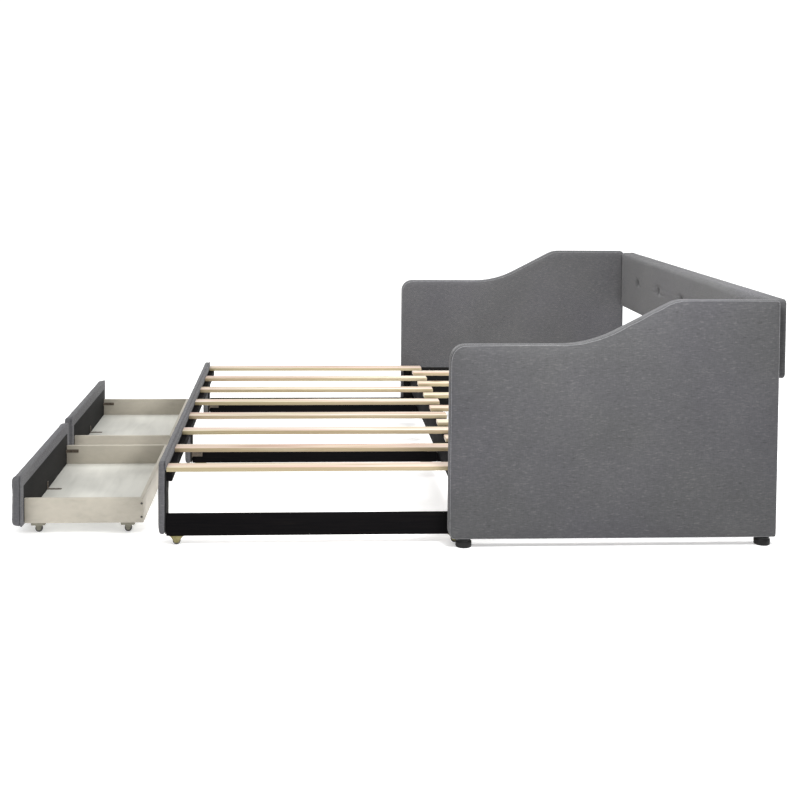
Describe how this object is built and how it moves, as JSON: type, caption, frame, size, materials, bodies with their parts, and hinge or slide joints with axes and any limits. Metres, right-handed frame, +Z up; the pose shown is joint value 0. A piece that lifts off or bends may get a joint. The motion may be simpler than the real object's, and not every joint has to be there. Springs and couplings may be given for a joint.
{
  "type": "trundle bed",
  "caption": "Upholstered daybed with wave-topped arms and a low back panel; a slatted trundle rolls out of its front, and drawers roll out of the trundle.",
  "frame": {"origin": "on the floor, at the centre of the box round the bed standing fully open", "axes": "+Z up, +X along the bed's length to the right as seen from its front, +Y from the drawers at the front to the back panel; the trundle slides along Y"},
  "size_m": [2.05, 2.53, 0.8],
  "materials": {
    "grey_fabric": "matte",
    "black_lining": "matte",
    "black_board": "satin",
    "pine": "satin",
    "drawer_board": "satin",
    "black_plastic": "satin",
    "wheel_plastic": "satin"
  },
  "bodies": {
    "daybed": {"left_arm_cover": "grey_fabric", "left_arm_board": "black_lining", "left_arm_front_foot": "black_plastic", "left_arm_rear_foot": "black_plastic", "right_arm_cover": "grey_fabric", "right_arm_board": "black_lining", "right_arm_front_foot": "black_plastic", "right_arm_rear_foot": "black_plastic", "back_cover": "grey_fabric", "back_board": "black_lining", "daybed_front_rail": "black_board", "daybed_rear_rail": "black_board", "daybed_slat_1": "pine", "daybed_slat_2": "pine", "daybed_slat_3": "pine", "daybed_slat_4": "pine", "daybed_slat_5": "pine", "daybed_slat_6": "pine", "daybed_slat_7": "pine"},
    "trundle": {"trundle_front_cover": "grey_fabric", "trundle_front_board": "black_lining", "trundle_slat_ledge": "black_board", "trundle_rear_board": "black_board", "trundle_left_floor_rail": "black_board", "trundle_middle_floor_rail": "black_board", "trundle_right_floor_rail": "black_board", "trundle_slat_1": "pine", "trundle_slat_2": "pine", "trundle_slat_3": "pine", "trundle_slat_4": "pine", "trundle_slat_5": "pine", "trundle_slat_6": "pine", "trundle_slat_7": "pine", "trundle_slat_8": "pine"},
    "left_drawer": {"left_drawer_front_cover": "grey_fabric", "left_drawer_front_board": "black_lining", "left_drawer_left_side": "drawer_board", "left_drawer_right_side": "drawer_board", "left_drawer_back": "drawer_board", "left_drawer_bottom": "drawer_board"},
    "right_drawer": {"right_drawer_front_cover": "grey_fabric", "right_drawer_front_board": "black_lining", "right_drawer_left_side": "drawer_board", "right_drawer_right_side": "drawer_board", "right_drawer_back": "drawer_board", "right_drawer_bottom": "drawer_board"},
    "trundle_left_front_wheel": {"trundle_left_front_wheel": "wheel_plastic"},
    "trundle_left_rear_wheel": {"trundle_left_rear_wheel": "wheel_plastic"},
    "trundle_middle_front_wheel": {"trundle_middle_front_wheel": "wheel_plastic"},
    "trundle_middle_rear_wheel": {"trundle_middle_rear_wheel": "wheel_plastic"},
    "trundle_right_front_wheel": {"trundle_right_front_wheel": "wheel_plastic"},
    "trundle_right_rear_wheel": {"trundle_right_rear_wheel": "wheel_plastic"},
    "left_drawer_front_left_wheel": {"left_drawer_front_left_wheel": "wheel_plastic"},
    "left_drawer_front_right_wheel": {"left_drawer_front_right_wheel": "wheel_plastic"},
    "left_drawer_rear_left_wheel": {"left_drawer_rear_left_wheel": "wheel_plastic"},
    "left_drawer_rear_right_wheel": {"left_drawer_rear_right_wheel": "wheel_plastic"},
    "right_drawer_front_left_wheel": {"right_drawer_front_left_wheel": "wheel_plastic"},
    "right_drawer_front_right_wheel": {"right_drawer_front_right_wheel": "wheel_plastic"},
    "right_drawer_rear_left_wheel": {"right_drawer_rear_left_wheel": "wheel_plastic"},
    "right_drawer_rear_right_wheel": {"right_drawer_rear_right_wheel": "wheel_plastic"}
  },
  "joints": [
    {"name": "trundle_slide", "type": "slide", "parent": "daybed", "child": "trundle", "axis": [0, 1, 0], "range_m": [0, 0.922]},
    {"name": "left_drawer_slide", "type": "slide", "parent": "trundle", "child": "left_drawer", "axis": [0, 1, 0], "range_m": [0, 0.486]},
    {"name": "right_drawer_slide", "type": "slide", "parent": "trundle", "child": "right_drawer", "axis": [0, 1, 0], "range_m": [0, 0.486]},
    {"name": "trundle_left_front_wheel_spin", "type": "hinge", "parent": "trundle", "child": "trundle_left_front_wheel", "pos_m": [-0.95, -0.718, 0.0125], "axis": [-1, 0, 0], "continuous": true},
    {"name": "trundle_left_rear_wheel_spin", "type": "hinge", "parent": "trundle", "child": "trundle_left_rear_wheel", "pos_m": [-0.95, 0.18, 0.0125], "axis": [-1, 0, 0], "continuous": true},
    {"name": "trundle_middle_front_wheel_spin", "type": "hinge", "parent": "trundle", "child": "trundle_middle_front_wheel", "pos_m": [0, -0.718, 0.0125], "axis": [-1, 0, 0], "continuous": true},
    {"name": "trundle_middle_rear_wheel_spin", "type": "hinge", "parent": "trundle", "child": "trundle_middle_rear_wheel", "pos_m": [0, 0.18, 0.0125], "axis": [-1, 0, 0], "continuous": true},
    {"name": "trundle_right_front_wheel_spin", "type": "hinge", "parent": "trundle", "child": "trundle_right_front_wheel", "pos_m": [0.95, -0.718, 0.0125], "axis": [-1, 0, 0], "continuous": true},
    {"name": "trundle_right_rear_wheel_spin", "type": "hinge", "parent": "trundle", "child": "trundle_right_rear_wheel", "pos_m": [0.95, 0.18, 0.0125], "axis": [-1, 0, 0], "continuous": true},
    {"name": "left_drawer_front_left_wheel_spin", "type": "hinge", "parent": "left_drawer", "child": "left_drawer_front_left_wheel", "pos_m": [-0.80525, -1.1854, 0.0125], "axis": [-1, 0, 0], "continuous": true},
    {"name": "left_drawer_front_right_wheel_spin", "type": "hinge", "parent": "left_drawer", "child": "left_drawer_front_right_wheel", "pos_m": [-0.10525, -1.1854, 0.0125], "axis": [-1, 0, 0], "continuous": true},
    {"name": "left_drawer_rear_left_wheel_spin", "type": "hinge", "parent": "left_drawer", "child": "left_drawer_rear_left_wheel", "pos_m": [-0.80525, -0.892, 0.0125], "axis": [-1, 0, 0], "continuous": true},
    {"name": "left_drawer_rear_right_wheel_spin", "type": "hinge", "parent": "left_drawer", "child": "left_drawer_rear_right_wheel", "pos_m": [-0.10525, -0.892, 0.0125], "axis": [-1, 0, 0], "continuous": true},
    {"name": "right_drawer_front_left_wheel_spin", "type": "hinge", "parent": "right_drawer", "child": "right_drawer_front_left_wheel", "pos_m": [0.10525, -1.1854, 0.0125], "axis": [-1, 0, 0], "continuous": true},
    {"name": "right_drawer_front_right_wheel_spin", "type": "hinge", "parent": "right_drawer", "child": "right_drawer_front_right_wheel", "pos_m": [0.80525, -1.1854, 0.0125], "axis": [-1, 0, 0], "continuous": true},
    {"name": "right_drawer_rear_left_wheel_spin", "type": "hinge", "parent": "right_drawer", "child": "right_drawer_rear_left_wheel", "pos_m": [0.10525, -0.892, 0.0125], "axis": [-1, 0, 0], "continuous": true},
    {"name": "right_drawer_rear_right_wheel_spin", "type": "hinge", "parent": "right_drawer", "child": "right_drawer_rear_right_wheel", "pos_m": [0.80525, -0.892, 0.0125], "axis": [-1, 0, 0], "continuous": true}
  ],
  "couplings": [
    {"joint": "trundle_left_front_wheel_spin", "follows": "trundle_slide", "rad_per_m": 80},
    {"joint": "trundle_left_rear_wheel_spin", "follows": "trundle_slide", "rad_per_m": 80},
    {"joint": "trundle_middle_front_wheel_spin", "follows": "trundle_slide", "rad_per_m": 80},
    {"joint": "trundle_middle_rear_wheel_spin", "follows": "trundle_slide", "rad_per_m": 80},
    {"joint": "trundle_right_front_wheel_spin", "follows": "trundle_slide", "rad_per_m": 80},
    {"joint": "trundle_right_rear_wheel_spin", "follows": "trundle_slide", "rad_per_m": 80},
    {"joint": "left_drawer_front_left_wheel_spin", "follows": "left_drawer_slide", "rad_per_m": 80},
    {"joint": "left_drawer_front_right_wheel_spin", "follows": "left_drawer_slide", "rad_per_m": 80},
    {"joint": "left_drawer_rear_left_wheel_spin", "follows": "left_drawer_slide", "rad_per_m": 80},
    {"joint": "left_drawer_rear_right_wheel_spin", "follows": "left_drawer_slide", "rad_per_m": 80},
    {"joint": "right_drawer_front_left_wheel_spin", "follows": "right_drawer_slide", "rad_per_m": 80},
    {"joint": "right_drawer_front_right_wheel_spin", "follows": "right_drawer_slide", "rad_per_m": 80},
    {"joint": "right_drawer_rear_left_wheel_spin", "follows": "right_drawer_slide", "rad_per_m": 80},
    {"joint": "right_drawer_rear_right_wheel_spin", "follows": "right_drawer_slide", "rad_per_m": 80}
  ]
}
